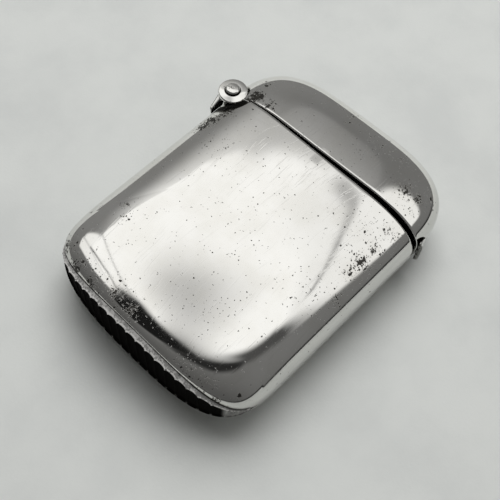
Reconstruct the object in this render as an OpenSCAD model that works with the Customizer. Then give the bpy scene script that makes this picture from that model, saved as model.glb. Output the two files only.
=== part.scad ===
// Pocket vesta case: a flat cushion-shaped silver box for matches, with a side-hinged lid at one
// end and a fluted striker at the other. It lies on its back, front face up.
// +X runs from the striker to the lid, +Y to the hinge side, +Z out of the front face.
// The origin is at the middle of the mouth line, on the flat of the back.

/* [Case] */
// Width across the case, from side seam to side seam
case_w = 35; // [31:0.5:40]
// Thickness from the flat of the back to the flat of the front
case_t = 11.2; // [10:0.1:14]
// Length of the body, from the mouth to the middle of the striker
body_len = 35.9; // [30:0.1:44]
// Length of the lid, from its rim to the middle of its end
lid_len = 11.1; // [9:0.1:15]
// Thickness of the silver sheet
wall = 0.6; // [0.45:0.05:0.75]
// Width of the flat of the front and back, across the mouth
flat_w = 15.8; // [10:0.2:18]

/* [Curves] */
// Power of the roll where it leaves the flat, higher is flatter
crown_power = 2.2; // [1.8:0.1:3]
// Power of the roll where it meets the seam, higher is squarer
side_power = 2.5; // [2:0.1:3.5]
// Power that keeps the long sides of the body straight
body_side_power = 18; // [10:1:22]
// Power that flattens the striker end of the body
body_end_power = 3.3; // [3.2:0.1:5]
// Power that keeps the sides of the lid straight
lid_side_power = 2.6; // [2.3:0.1:4]
// Power that flattens the end of the lid
lid_end_power = 3.9; // [3:0.1:5]

/* [Lid] */
// Angle by which the lid stands ajar
lid_ajar = 1.3; // [0:0.1:4]
// Angle from shut to fully open
lid_open = 130; // [90:1:140]
// Gap between the two rims when the lid is shut
rim_gap = 0.1; // [0.05:0.01:0.2]
// Width of the thumb-piece along the case
thumb_w = 2.7; // [2:0.1:3.4]
// Length of the thumb-piece across the thickness
thumb_len = 5; // [3:0.1:6]
// How far the thumb-piece stands proud of the side at the rim
thumb_proud = 0.75; // [0.6:0.05:1.4]
// Power of the hollow ramp that runs from the side to the thumb-piece's edge
thumb_power = 1.5; // [1:0.1:2.5]

/* [Striker] */
// Thickness of the striker face at its middle
striker_t = 8.5; // [6:0.1:9]
// Distance of the pointed ends of the striker from the sides
striker_inset = 0.3; // [0.2:0.1:2]
// Depth of the striker plate, along the case
striker_depth = 0.95; // [0.8:0.05:1.6]
// Drop of the striker plate's rim from the shell to its face
striker_bevel = 0.2; // [0.1:0.05:0.4]
// Power of the taper of the striker face to its ends
striker_taper = 0.8; // [0.5:0.05:0.9]
// Number of flutes across the striker
flutes = 20; // [14:1:26]
// Depth of a flute
flute_depth = 0.5; // [0.3:0.05:0.6]
// Width of the land between two flutes
land_w = 0.3; // [0.15:0.05:0.5]

/* [Hinge] */
// Diameter of the hinge barrel
barrel_d = 4.2; // [3.6:0.1:4.4]
// Distance of the pin's axis inside the side seam
hinge_inset = 0.45; // [0.2:0.05:0.7]
// Distance of the pin's axis past the mouth, towards the lid
hinge_x = 0.2; // [0:0.05:0.4]
// Length of the lid's knuckle, in the middle of the barrel
lid_knuckle_len = 2.4; // [1.8:0.1:2.8]
// Length of the straight part of each of the body's knuckles
end_knuckle_len = 1.65; // [1.2:0.05:2]
// Height of the bell that closes each end of the barrel
bell_h = 1; // [0.5:0.1:1.2]
// Diameter of the pin
pin_d = 1.2; // [0.9:0.05:1.4]
// Diameter of the pin's peened heads
pin_head_d = 2.2; // [2:0.1:2.6]
// Height of a pin head
pin_head_h = 0.6; // [0.4:0.05:0.8]
// Length of the body's leaves along the side, from the pin's axis
body_leaf_len = 4; // [3.8:0.1:5.4]
// Length of the lid's leaf along the side, from the pin's axis
lid_leaf_len = 3.6; // [3.4:0.1:4.4]
// Thickness of a leaf at its tip
leaf_t = 0.45; // [0.3:0.05:0.7]
// Radial clearance of the pin in its bores
pin_clear = 0.05; // [0.02:0.01:0.08]
// Gap between two knuckles
knuckle_gap = 0.15; // [0.1:0.01:0.25]
// Gap between the barrel and the notch in the side
notch_gap = 0.5; // [0.3:0.05:0.6]

/* [Spring] */
// Length of the lid's leaf spring
spring_len = 18; // [14:0.5:22]
// Width of the spring across the thickness of the case
spring_w = 1.8; // [1.2:0.1:2.2]
// Thickness of the spring
spring_t = 0.4; // [0.25:0.05:0.5]
// Length of the spring's foot, flat on the side
spring_foot = 5; // [4:0.2:6]
// Gap between the mouth and the spring's free end
spring_tip_gap = 0.3; // [0.2:0.1:0.6]
// Gap between the spring and the round of the lid's knuckle
spring_gap = 0.1; // [0.06:0.01:0.2]
// Depth of the flats that the spring rests on
cam_flat = 0.3; // [0.15:0.05:0.4]
// Diameter of the stud that holds the spring's foot
stud_d = 1; // [0.7:0.05:1.2]
// Diameter of the stud's head
stud_head_d = 1.7; // [1.4:0.1:2]
// Height of the stud's head
stud_head_h = 0.4; // [0.25:0.05:0.6]

/* [Hidden] */
$fn = 48;
// Solder seam between pieces that are joined
seat_gap = 0.06;
// Width of the bell's flat rim round the pin head
bell_lip = 0.15;
// Depth by which the face of a leaf starts inside the barrel
leaf_bite = 0.05;
// Turn by which the notch's round stops short of the ray that touches it
notch_slack = 1.5;
// Steps of the meshes: along a ray, along a side, along the striker end, round the notch and the lid
ray_steps = 11;
side_steps = 13;
end_steps = 14;
notch_steps = 5;
lid_steps = 34;
flute_steps = 10;
thumb_steps = 8;
// Share of the half width at which the body's side turns into its end
corner_share = 0.8;
// Share of the striker's half width that is modelled, short of the knife edge at its ends
striker_share = 0.985;
// Share of the plate's depth that is left where the striker runs out
striker_end_share = 0.35;
half_w = case_w / 2;
half_t = case_t / 2;
mid_z = half_t;
flat_share = flat_w / case_w;
barrel_r = barrel_d / 2;
notch_r = barrel_r + notch_gap;
hinge_y = half_w - hinge_inset;
bore_r = pin_d / 2 + pin_clear;
bell_r = pin_head_d / 2 + bell_lip;
knuckle_z = lid_knuckle_len / 2 + knuckle_gap;
head_z = knuckle_z + end_knuckle_len + bell_h;
shell_len = body_len - striker_depth;
stud_x = spring_foot / 2 - spring_len;
// Place across the case of the spring's foot, clear of the side's round at the spring's edges
foot_y = (half_w - wall) * (flat_share + (1 - flat_share) * pow(1 - pow(spring_w / 2 / (half_t - wall),
    side_power), 1 / crown_power)) - 2 * seat_gap;
silver = "silver";
dark_silver = [0.12, 0.12, 0.12];
steel = [0.45, 0.46, 0.48];

// Height of the roll, from 1 on the flat to 0 at the seam, at share s of the way out
function roll(s) =
    let (u = max(0, s - flat_share) / (1 - flat_share))
    pow(max(0, 1 - pow(u, crown_power)), 1 / side_power);

// Outline of the body: half width at x from the mouth, and length at y from the middle line
function body_side(x, hw, len) = hw * pow(1 - pow(x / len, body_side_power), 1 / body_end_power);
function body_end(y, hw, len) = len * pow(1 - pow(abs(y) / hw, body_end_power), 1 / body_side_power);

// Half thickness of the striker face at y
function striker_edge(y, hw, ht) =
    let (u = abs(y) / (hw - striker_inset))
    u >= 1 ? 0 : ht * pow(1 - u * u, striker_taper);

// Outline of the lid: half width at x from its rim
function lid_side(x, hw, len) = hw * pow(1 - pow(x / len, lid_side_power), 1 / lid_end_power);

// Plan points [x, y] on the round of the notch, from the mouth at height 0 along x to the side.
// The pin's axis lies axis_x past the mouth, and x grows away from the mouth.
function notch_points(axis_x) =
    let (a0 = asin(-axis_x / notch_r), a1 = acos(notch_r / hinge_y) - notch_slack)
    [for (i = [0 : notch_steps])
        let (a = a0 + (a1 - a0) * i / notch_steps)
        [i == 0 ? 0 : axis_x + notch_r * sin(a), hinge_y - notch_r * cos(a)]];

// Place along x at which the ray past the notch's last point meets a side at half width hw
function past_notch(points, hw) =
    let (p = points[notch_steps])
    p[0] * hw / p[1] + seat_gap;

// Rays on one side of the body, from x0 to the corner, then on the end to the middle line. A ray is
// [x, y, share of the way to the outline, height above the seam] of the point where it ends.
function body_quarter(hw, len, ht, x0, dir) =
    let (yc = corner_share * hw, xc = body_end(yc, hw, len))
    concat(
        [for (i = [0 : side_steps])
            let (x = x0 + (xc - x0) * (1 - pow(1 - i / side_steps, 2)), y = body_side(x, hw, len))
            [-x, dir * y, 1, striker_edge(y, hw, ht)]],
        [for (i = [1 : end_steps])
            let (y = yc * (1 - i / end_steps))
            [-body_end(y, hw, len), dir * y, 1, striker_edge(y, hw, ht)]]);

function reversed(list) = [for (i = [len(list) - 1 : -1 : 0]) list[i]];
function without_first(list) = [for (i = [1 : len(list) - 1]) list[i]];

// All rays of the body, from the notch round the striker end to the far side of the mouth
function body_rays(hw, len, ht) =
    let (notch = notch_points(-hinge_x))
    concat(
        [for (p = notch) [-p[0], p[1], p[1] / hw, 0]],
        body_quarter(hw, len, ht, past_notch(notch, hw), 1),
        without_first(reversed(body_quarter(hw, len, ht, 0, -1))));

// All rays of the lid, from the thumb side round the end to the notch
function lid_rays(hw, len) =
    let (notch = notch_points(hinge_x - rim_gap), x1 = past_notch(notch, hw))
    let (t1 = acos(pow(x1 / len, lid_side_power / 2)))
    concat(
        [for (i = [0 : lid_steps])
            let (t = -90 + (t1 + 90) * i / lid_steps)
            [len * pow(max(0, cos(t)), 2 / lid_side_power),
             hw * sign(sin(t)) * pow(abs(sin(t)), 2 / lid_end_power), 1, 0]],
        reversed([for (p = notch) [p[0], p[1], p[1] / lid_side(p[0], hw, len), 0]]));

// Points along every ray, on a crown of height h above the seam, without the common first point
function ray_points(rays, h) = [
    for (r = rays, i = [1 : ray_steps])
    let (k = sin(90 * i / ray_steps))
    [r[0] * k, r[1] * k, r[3] + (h - r[3]) * roll(r[2] * k)]];

// One half of a shell, above the seam: an outer and an inner fan of rays, closed along their rims
module half_shell(outer, inner) {
    n = ray_steps;
    m = len(outer) - 1;
    b = 1 + (m + 1) * n;
    points = concat([[0, 0, half_t]], ray_points(outer, half_t),
        [[0, 0, half_t - wall]], ray_points(inner, half_t - wall));
    // Place of the point at ray j and step i, on the outer fan, or on the inner one with base b
    function at(base, j, i) = i == 0 ? base : base + 1 + j * n + i - 1;
    skin = [for (j = [0 : m - 1], i = [0 : n - 1]) each concat(
        i == 0 ? [] : [[at(0, j, i), at(0, j + 1, i), at(0, j + 1, i + 1)],
            [at(b, j, i), at(b, j + 1, i + 1), at(b, j + 1, i)]],
        [[at(0, j, i), at(0, j + 1, i + 1), at(0, j, i + 1)],
            [at(b, j, i), at(b, j, i + 1), at(b, j + 1, i + 1)]])];
    seam = [for (j = [0 : m - 1]) each [
        [at(0, j, n), at(0, j + 1, n), at(b, j + 1, n)],
        [at(0, j, n), at(b, j + 1, n), at(b, j, n)]]];
    mouth = [for (i = [0 : n - 1]) each concat(
        [[at(0, 0, i), at(0, 0, i + 1), at(b, 0, i + 1)]],
        [[at(0, 0, i), at(b, 0, i + 1), at(b, 0, i)]],
        [[at(0, m, i + 1), at(0, m, i), at(b, m, i)]],
        [[at(0, m, i + 1), at(b, m, i), at(b, m, i + 1)]])];
    polyhedron(points, concat(skin, seam, mouth));
}

module body_half() half_shell(
    body_rays(half_w, shell_len, striker_t / 2),
    body_rays(half_w - wall, shell_len, striker_t / 2 - wall));

module lid_half() translate([rim_gap, 0, 0])
    half_shell(lid_rays(half_w, lid_len), lid_rays(half_w - wall, lid_len - wall));

// Places pieces of the front or the back half, which mirror each other about the seam
module front_half() translate([0, 0, mid_z]) children();
module back_half() translate([0, 0, mid_z]) mirror([0, 0, 1]) children();

// Turns the lid's pieces about the pin to where the lid stands ajar
module on_lid() translate([hinge_x, hinge_y, 0]) rotate([0, 0, lid_ajar])
    translate([-hinge_x, -hinge_y, 0]) children();

// The bowed plate that closes the end, of the striker face's tapering height, with flutes across it
module striker() {
    reach = (half_w - striker_inset) * striker_share;
    pitch = 2 * reach / flutes;
    n = flutes * flute_steps;
    function flute(y) =
        let (t = (y + reach) / pitch, u = (t - floor(t) - 0.5) * pitch / ((pitch - land_w) / 2))
        abs(u) >= 1 ? 0 : flute_depth * sqrt(1 - u * u);
    function depth(y) =
        let (share = striker_end_share + (1 - striker_end_share) * (1 - pow(y / reach, 4)))
        max(striker_depth * share - flute(y) * share, seat_gap * 2);
    // Stations across the plate: inner and outer x, y, and the half height of its inner and outer edge
    stations = [for (i = [0 : n])
        let (y = -reach + 2 * reach * i / n, x = -body_end(y, half_w, shell_len) - seat_gap)
        let (e = striker_edge(y, half_w, striker_t / 2), d = depth(y))
        [x, x - d, y, e, e * (1 - striker_bevel / striker_t * 2 * d / striker_depth)]];
    points = [for (s = stations) each [
        [s[0], s[2], -s[3]], [s[1], s[2], -s[4]], [s[1], s[2], s[4]], [s[0], s[2], s[3]]]];
    sides = [for (i = [0 : n - 1], k = [0 : 3])
        let (a = 4 * i + k, b = 4 * i + (k + 1) % 4)
        each [[a, b, b + 4], [a, b + 4, a + 4]]];
    ends = [[3, 2, 1], [3, 1, 0], [4 * n, 4 * n + 1, 4 * n + 2], [4 * n, 4 * n + 2, 4 * n + 3]];
    polyhedron(points, concat(sides, ends));
}

// Plan of a hinge leaf that runs from the barrel along the side, towards +X from the pin's axis
module leaf_plan(leaf_len) {
    seat_y = half_w + seat_gap - hinge_y;
    tip = [leaf_len, seat_y + leaf_t];
    root_r = barrel_r - leaf_bite;
    turn = atan2(tip[1], tip[0]) + acos(root_r / norm(tip));
    polygon([[0, 0], root_r * [cos(turn), sin(turn)], tip, [leaf_len, seat_y], [0, seat_y]]);
}

// Puts pieces that are drawn about the pin at its place, above the seam
module at_pin() translate([hinge_x, hinge_y, 0]) children();

// Pin hole through a knuckle of any height
module pin_bore() translate([0, 0, -case_t]) cylinder(r = bore_r, h = 2 * case_t);

// Knuckle of the body above the seam, with its leaf and the bell that closes the barrel
module end_knuckle() at_pin() difference() {
    union() {
        translate([0, 0, knuckle_z]) cylinder(r = barrel_r, h = end_knuckle_len);
        translate([0, 0, knuckle_z + end_knuckle_len])
            cylinder(r1 = barrel_r, r2 = bell_r, h = bell_h);
        translate([0, 0, knuckle_z]) linear_extrude(end_knuckle_len) mirror([1, 0])
            leaf_plan(body_leaf_len);
    }
    pin_bore();
}

// Head of the pin above the seam: a short drum with a chamfered top
module pin_head() at_pin() translate([0, 0, head_z]) {
    cylinder(d = pin_head_d, h = pin_head_h / 2);
    translate([0, 0, pin_head_h / 2])
        cylinder(d1 = pin_head_d, d2 = pin_head_d - pin_head_h, h = pin_head_h / 2);
}

module body_front_shell() color(silver) front_half() body_half();
module body_back_shell() color(silver) back_half() body_half();
module striker_plate() color(dark_silver) front_half() striker();
module front_knuckle() color(silver) front_half() end_knuckle();
module back_knuckle() color(silver) back_half() end_knuckle();
module lid_front_shell() color(silver) on_lid() front_half() lid_half();
module lid_back_shell() color(silver) on_lid() back_half() lid_half();

module hinge_pin() color(silver) {
    front_half() at_pin() translate([0, 0, -head_z]) cylinder(d = pin_d, h = 2 * head_z);
    front_half() pin_head();
    back_half() pin_head();
}

// Knuckle of the lid, with a flat for the spring when shut and another when open
module lid_knuckle() color(silver) on_lid() front_half() at_pin() difference() {
    translate([0, 0, -lid_knuckle_len / 2]) {
        cylinder(r = barrel_r, h = lid_knuckle_len);
        linear_extrude(lid_knuckle_len) leaf_plan(lid_leaf_len);
    }
    for (a = [0, -lid_open]) rotate([0, 0, a])
        translate([-barrel_r, cam_flat - barrel_d, -lid_knuckle_len])
        cube([barrel_d, barrel_r, 2 * lid_knuckle_len]);
    pin_bore();
}

// Flat spring inside the hinge side, with its foot on the side and its free end by the lid's knuckle
module lid_spring() color(steel) front_half() difference() {
    free_y = hinge_y - barrel_r - spring_gap;
    bend_x = spring_foot - spring_len;
    translate([0, 0, -spring_w / 2]) linear_extrude(spring_w) polygon([
        [-spring_tip_gap, free_y], [bend_x, foot_y], [-spring_len, foot_y],
        [-spring_len, foot_y - spring_t], [bend_x, foot_y - spring_t],
        [-spring_tip_gap, free_y - spring_t]]);
    translate([stud_x, half_w, 0]) rotate([90, 0, 0])
        cylinder(d = stud_d + 2 * pin_clear, h = half_w);
}

// Stud soldered to the side that holds the spring's foot
module spring_stud() color(silver) front_half() translate([stud_x, half_w - wall - seat_gap, 0])
    rotate([90, 0, 0]) {
        shank = half_w - wall - seat_gap - foot_y + spring_t;
        cylinder(d = stud_d, h = shank);
        translate([0, 0, shank]) cylinder(d = stud_head_d, h = stud_head_h);
    }

// Lip on the lid's side with a hollow ramp that rises to the rim, round where it meets the side
module thumb_piece() color(silver) on_lid() front_half() intersection() {
    translate([rim_gap, 0, -thumb_len / 2]) linear_extrude(thumb_len) polygon(concat(
        [[0, -half_w - seat_gap]],
        [for (i = [0 : thumb_steps - 1])
            let (u = i / thumb_steps)
            [thumb_w * u, -half_w - seat_gap - thumb_proud * pow(1 - u, thumb_power)]],
        [[thumb_w, -half_w - seat_gap]]));
    translate([rim_gap, 0, 0]) rotate([90, 0, 0]) cylinder(d = thumb_len, h = case_w);
}

body_front_shell();
body_back_shell();
striker_plate();
front_knuckle();
back_knuckle();
hinge_pin();
lid_spring();
spring_stud();
lid_front_shell();
lid_back_shell();
lid_knuckle();
thumb_piece();
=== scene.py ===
"""A pocket vesta case in worn, polished silver, lying on its back on a pale table.

Shapes are worked out in millimetres and put into the meshes in metres. +X runs from the striker to
the lid, +Y to the hinge side and +Z out of the front face. The origin is at the middle of the mouth
line, on the flat of the back.
"""
from __future__ import annotations

import logging
import math
from dataclasses import dataclass, field
from enum import Enum

import bmesh
import bpy
import numpy as np
from mathutils import Matrix, Vector

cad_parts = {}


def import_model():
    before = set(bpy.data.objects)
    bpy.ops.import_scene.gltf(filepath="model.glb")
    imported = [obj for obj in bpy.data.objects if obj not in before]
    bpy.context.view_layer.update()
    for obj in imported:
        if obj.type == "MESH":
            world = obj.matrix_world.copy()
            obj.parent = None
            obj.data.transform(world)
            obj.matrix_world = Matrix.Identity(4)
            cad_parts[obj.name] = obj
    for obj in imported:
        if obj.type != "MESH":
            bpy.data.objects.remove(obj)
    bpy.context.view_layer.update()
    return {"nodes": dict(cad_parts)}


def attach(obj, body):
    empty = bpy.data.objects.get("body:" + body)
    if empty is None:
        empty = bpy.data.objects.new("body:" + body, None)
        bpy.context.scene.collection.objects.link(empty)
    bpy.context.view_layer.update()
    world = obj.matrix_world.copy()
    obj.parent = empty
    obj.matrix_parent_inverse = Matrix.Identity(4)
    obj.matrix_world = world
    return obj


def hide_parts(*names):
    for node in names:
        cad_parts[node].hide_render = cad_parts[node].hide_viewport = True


MM = 0.001
# Points nearer than the weld, in metres, become one; edges under the sliver count as none.
WELD = 2e-7
SLIVER = 1e-8
SHARP_TURN = 38.0
# Points of a line nearer than this, in millimetres, are the same, and no divisor is under the least.
SAME_SPOT = 1e-6
LEAST = 1e-9
# Marks at a piece's points: half painted shade on faces that another piece covers, and black painted shade.
HIDDEN_MARK = 0.5
BLACK_SHADE_MARK = 1.5
Colour = tuple[float, float, float, float]
log = logging.getLogger("vesta_case")


class Ride(Enum):
    """The two bodies that pieces move with."""

    CASE = "case"
    LID = "lid"


class Half(Enum):
    """Which side of the seam a piece lies on, as the sign of its height above the seam."""

    FRONT = 1.0
    BACK = -1.0


class Slot(Enum):
    """The record's material slots."""

    SILVER = "silver"
    STRIKER = "striker_silver"
    STEEL = "spring_steel"


@dataclass(frozen=True)
class CaseForm:
    """The sizes of the case, in millimetres, and the curves that its pieces share."""

    width: float = 35.0
    thickness: float = 11.2
    body_len: float = 35.9
    lid_len: float = 11.1
    wall: float = 0.6
    flat_w: float = 15.8
    crown_power: float = 2.2
    side_power: float = 2.5
    body_side_power: float = 18.0
    body_end_power: float = 3.3
    lid_side_power: float = 2.6
    lid_end_power: float = 3.9
    lid_ajar: float = 1.3
    rim_gap: float = 0.1
    rim_round: float = 0.14
    rim_run: float = 0.3
    seat_gap: float = 0.06
    striker_depth: float = 0.95
    striker_t: float = 8.5
    striker_inset: float = 0.3
    striker_taper: float = 0.8
    hinge_x: float = 0.2
    hinge_inset: float = 0.45
    barrel_r: float = 2.1
    notch_gap: float = 0.5
    lid_notch_gap: float = 0.26
    notch_slack: float = 1.5
    # Size of the oval of black painted shade under the hinge's bell.
    black_shade_run: float = 4.4
    black_shade_depth: float = 3.75

    @property
    def half_w(self) -> float:
        """Half the width of the case."""
        return self.width / 2

    @property
    def mid_z(self) -> float:
        """Height of the seam, which is half the thickness."""
        return self.thickness / 2

    @property
    def flat_share(self) -> float:
        """Share of the way from the middle to the side that is flat."""
        return self.flat_w / self.width

    @property
    def shell_len(self) -> float:
        """Length of the body without its striker plate."""
        return self.body_len - self.striker_depth

    @property
    def hinge_y(self) -> float:
        """Place of the pin's axis across the case."""
        return self.half_w - self.hinge_inset

    def roll(self, share: np.ndarray) -> np.ndarray:
        """Height of the crown: (1 - u^crown)^(1/side), where u is 0 on the flat and 1 at the seam."""
        u = np.clip((share - self.flat_share) / (1 - self.flat_share), 0, 1)
        return np.maximum(0, 1 - u**self.crown_power) ** (1 / self.side_power)

    def body_side(self, x: np.ndarray, half_w: float) -> np.ndarray:
        """Half width of the body at x from the mouth: hw (1 - (x/len)^side)^(1/end)."""
        part = np.clip(x / self.shell_len, 0, 1) ** self.body_side_power
        return half_w * (1 - part) ** (1 / self.body_end_power)

    def body_end(self, y: np.ndarray, half_w: float) -> np.ndarray:
        """Length of the body at y from its middle line: len (1 - (y/hw)^end)^(1/side)."""
        part = np.clip(np.abs(y) / half_w, 0, 1) ** self.body_end_power
        return self.shell_len * (1 - part) ** (1 / self.body_side_power)

    def lid_side(self, x: np.ndarray, half_w: float, length: float) -> np.ndarray:
        """Half width of the lid at x from its rim: hw (1 - (x/len)^side)^(1/end)."""
        return half_w * (1 - (x / length) ** self.lid_side_power) ** (1 / self.lid_end_power)

    def striker_edge(self, y: np.ndarray, half_w: float, half_t: float) -> np.ndarray:
        """Half height of the striker face at y: ht (1 - u^2)^taper, u being 1 at its pointed ends."""
        u = np.clip(np.abs(y) / (half_w - self.striker_inset), 0, 1)
        return half_t * (1 - u * u) ** self.striker_taper

    def levels(self, flat_steps: int, roll_steps: int) -> np.ndarray:
        """Shares of the way along a ray: even on the flat, then u = sin(t)^(2/crown) down the roll.

        Args:
            flat_steps: Steps on the flat.
            roll_steps: Steps from the flat to the seam.

        Returns:
            Rising shares from 0 to 1.
        """
        turn = np.linspace(0, np.pi / 2, roll_steps + 1)
        u = np.sin(turn) ** (2 / self.crown_power)
        flat = np.linspace(0, self.flat_share, flat_steps, endpoint=False)
        return np.concatenate([flat, self.flat_share + (1 - self.flat_share) * u])

    def turn_lid(self, points: np.ndarray) -> np.ndarray:
        """Turns points of the lid, drawn shut, about the pin to where the lid stands ajar.

        Args:
            points: Array whose last axis is x, y and z.

        Returns:
            The turned points, in the same order.
        """
        turn = math.radians(self.lid_ajar)
        x = points[..., 0] - self.hinge_x
        y = points[..., 1] - self.hinge_y
        return np.stack(
            [
                self.hinge_x + x * math.cos(turn) - y * math.sin(turn),
                self.hinge_y + x * math.sin(turn) + y * math.cos(turn),
                points[..., 2],
            ],
            -1,
        )


@dataclass
class Patch:
    """A grid of points in millimetres, with marks such as dirt at each of them.

    Attributes:
        points: Array of shape (rows, columns, 3).
        inner: Mark at each point, one number or a grid: 0 on clean metal, 1 for painted shade inside
        the case, in gaps and in recesses, or for soot on the striker, and more than 1 for black painted
        shade.
        ring: Whether the last column joins the first.
    """

    points: np.ndarray
    inner: float | np.ndarray = 0.0
    ring: bool = False

    def faces(self, first: int) -> np.ndarray:
        """Corners of the grid's quads.

        Args:
            first: Number of the grid's first point in the mesh.

        Returns:
            Array of shape (quads, 4).
        """
        rows, cols = self.points.shape[:2]
        i, j = np.meshgrid(np.arange(rows - 1), np.arange(cols if self.ring else cols - 1), indexing="ij")
        k = (j + 1) % cols
        quads = np.stack([i * cols + j, i * cols + k, (i + 1) * cols + k, (i + 1) * cols + j], -1)
        return first + quads.reshape(-1, 4)


@dataclass(frozen=True)
class Stain:
    """A place on the case where dirt and pits gather, as a soft round spot.

    Attributes:
        x: Place along the case.
        y: Place across the case.
        z: Height above the table.
        reach: Distance at which the stain has faded to about a third.
        strength: Share of dirt at its middle.
    """

    x: float
    y: float
    z: float
    reach: float
    strength: float


STAINS = (
    Stain(-8, -14.4, 10.1, 2.2, 0.98),
    Stain(-10.2, -14.2, 10.2, 1.6, 0.96),
    Stain(-5.2, -14.3, 10.2, 1.6, 0.96),
    Stain(-2.2, -13.7, 10.4, 1.4, 0.95),
    Stain(-1.7, -15.2, 9.7, 1, 1),
    Stain(-3.9, -11.4, 11, 2.6, 0.6),
    Stain(-14, -15.5, 9.4, 1.3, 0.95),
    Stain(-16, -12.4, 10.8, 2.3, 0.5),
    Stain(4.2, -11.6, 10.8, 1.9, 1.02),
    Stain(4.7, -13.5, 10.2, 1.3, 1),
    Stain(6.6, -14.7, 9.2, 0.87, 1),
    Stain(2.6, -14.2, 10.1, 1.3, 0.7),
    Stain(1.2, 13.3, 10.5, 1.8, 1.3),
    Stain(4.1, 13.9, 10.2, 1, 1.15),
    Stain(1.1, 10.6, 11, 1.4, 0.95),
    Stain(-5.8, 15.4, 9.6, 2, 1.25),
    Stain(-3.2, 14.4, 10.1, 1.5, 1.2),
    Stain(-7.6, 15.5, 9.5, 1.5, 1.1),
    Stain(-8.5, 11.5, 10.8, 2.2, 0.45),
    Stain(7, -4.8, 10.6, 2.2, 0.62),
    Stain(8.2, 1.5, 10.2, 2, 0.5),
    Stain(7.6, -8.5, 10.2, 1.6, 0.7),
    Stain(-33.2, 14.7, 7.9, 2.3, 1),
    Stain(-34.1, 11.2, 9, 2.3, 1),
    Stain(-34.6, 7.8, 9.5, 2.2, 0.95),
    Stain(-33, 9, 10, 1.3, 0.6),
    Stain(-33.5, 4.6, 10.3, 1.7, 0.95),
    Stain(-33.6, 1.4, 10.5, 1.9, 0.98),
    Stain(-33.9, -9, 9.6, 2.3, 0.75),
    Stain(-33.4, -11.6, 9.3, 1.7, 0.75),
    Stain(-33.8, -13.6, 8, 1.2, 0.95),
    Stain(-31.5, -15.4, 8.5, 0.35, 1.5),
    Stain(-24, 13, 10.5, 1.2, 0.8),
    Stain(-25.4, 11.7, 10.6, 0.87, 0.9),
    Stain(-27.3, 16, 8.9, 0.87, 0.7),
    Stain(-27.5, -4, 11, 5, 0.2),
    Stain(0.13, 17.36, 10, 0.25, 1.4),
)


def dirt_at(points: np.ndarray) -> np.ndarray:
    """Share of dirt at points: the largest of the stains' bells exp(-(d/reach)^2).

    Args:
        points: Array of shape (count, 3), in millimetres.

    Returns:
        Shares from 0, which may pass 1 in the middle of a deep stain.
    """
    spots = np.array([(s.x, s.y, s.z, s.reach, s.strength) for s in STAINS])
    away = ((points[:, None, :] - spots[None, :, :3]) ** 2).sum(axis=-1)
    return (spots[None, :, 4] * np.exp(-away / spots[None, :, 3] ** 2)).max(axis=1)


def make_piece(name: str, patches: list[Patch], caps: list[np.ndarray] | None = None) -> bpy.types.Object:
    """Makes one closed mesh object from grids and flat caps, welded where they meet.

    Args:
        name: Name of the piece.
        patches: Grids that make up its surface.
        caps: Flat rings of points that close what the grids leave open.

    Returns:
        The new object, at the origin, smooth except where its faces turn sharply.
    """
    rings = caps or []
    points = np.concatenate([p.points.reshape(-1, 3) for p in patches] + list(rings))
    counts = [p.points.shape[0] * p.points.shape[1] for p in patches] + [len(r) for r in rings]
    firsts = np.cumsum([0] + counts)
    quads = np.concatenate([p.faces(int(f)) for p, f in zip(patches, firsts)]).tolist()
    flats = [list(range(int(f), int(f) + len(r))) for r, f in zip(rings, firsts[len(patches):])]
    # Caps take the half painted shade of faces that another piece covers.
    inner = np.concatenate(
        [np.broadcast_to(p.inner, p.points.shape[:2]).ravel() for p in patches]
        + [np.full(len(r), HIDDEN_MARK) for r in rings]
    )
    mesh = bpy.data.meshes.new(name)
    mesh.from_pydata((points * MM).tolist(), [], quads + flats)
    for label, values in (("dirt", dirt_at(points)), ("inside", inner)):
        mark = mesh.attributes.new(label, "FLOAT", "POINT")
        mark.data.foreach_set("value", values.astype(np.float32))
    weld = bmesh.new()
    weld.from_mesh(mesh)
    bmesh.ops.remove_doubles(weld, verts=weld.verts, dist=WELD)
    bmesh.ops.dissolve_degenerate(weld, edges=weld.edges, dist=SLIVER)
    bmesh.ops.recalc_face_normals(weld, faces=weld.faces)
    weld.to_mesh(mesh)
    weld.free()
    mesh.shade_smooth()
    mesh.set_sharp_from_angle(angle=math.radians(SHARP_TURN))
    piece = bpy.data.objects.new(name, mesh)
    bpy.context.scene.collection.objects.link(piece)
    return piece


def place(piece: bpy.types.Object, ride: Ride, slot: Slot, finish: bpy.types.Material, *nodes: str) -> None:
    """Gives a piece its finish and the body it moves with, and hides the solids that it stands for.

    Args:
        piece: The new object.
        ride: Body that it moves with.
        slot: Slot of the record that it takes its finish from; not used.
        finish: Its material.
        *nodes: Solids that it replaces.
    """
    piece.data.materials.clear()
    piece.data.materials.append(finish)
    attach(piece, ride.value)
    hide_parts(*nodes)
    log.info("%s: %d faces, with the %s", piece.name, len(piece.data.polygons), ride.value)


def even_by_turn(points: np.ndarray, count: int, turn_weight: float) -> np.ndarray:
    """Thins a dense line so that its points lie closer where it turns.

    The line is measured by its length plus its turning, each as a share of the whole, and cut into
    equal lengths of that sum.

    Args:
        points: Dense line, shape (many, 2).
        count: Points to keep.
        turn_weight: Weight of the turning beside the length.

    Returns:
        Line of shape (count, 2), with the same ends.
    """
    step = np.diff(points, axis=0)
    length = np.linalg.norm(step, axis=1)
    heading = np.unwrap(np.arctan2(step[:, 1], step[:, 0]))
    turn = np.abs(np.gradient(heading))
    effort = length / length.sum() + turn_weight * turn / max(turn.sum(), LEAST)
    run = np.concatenate([[0], np.cumsum(effort)])
    want = np.linspace(0, run[-1], count)
    return np.stack([np.interp(want, run, points[:, 0]), np.interp(want, run, points[:, 1])], -1)


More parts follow.
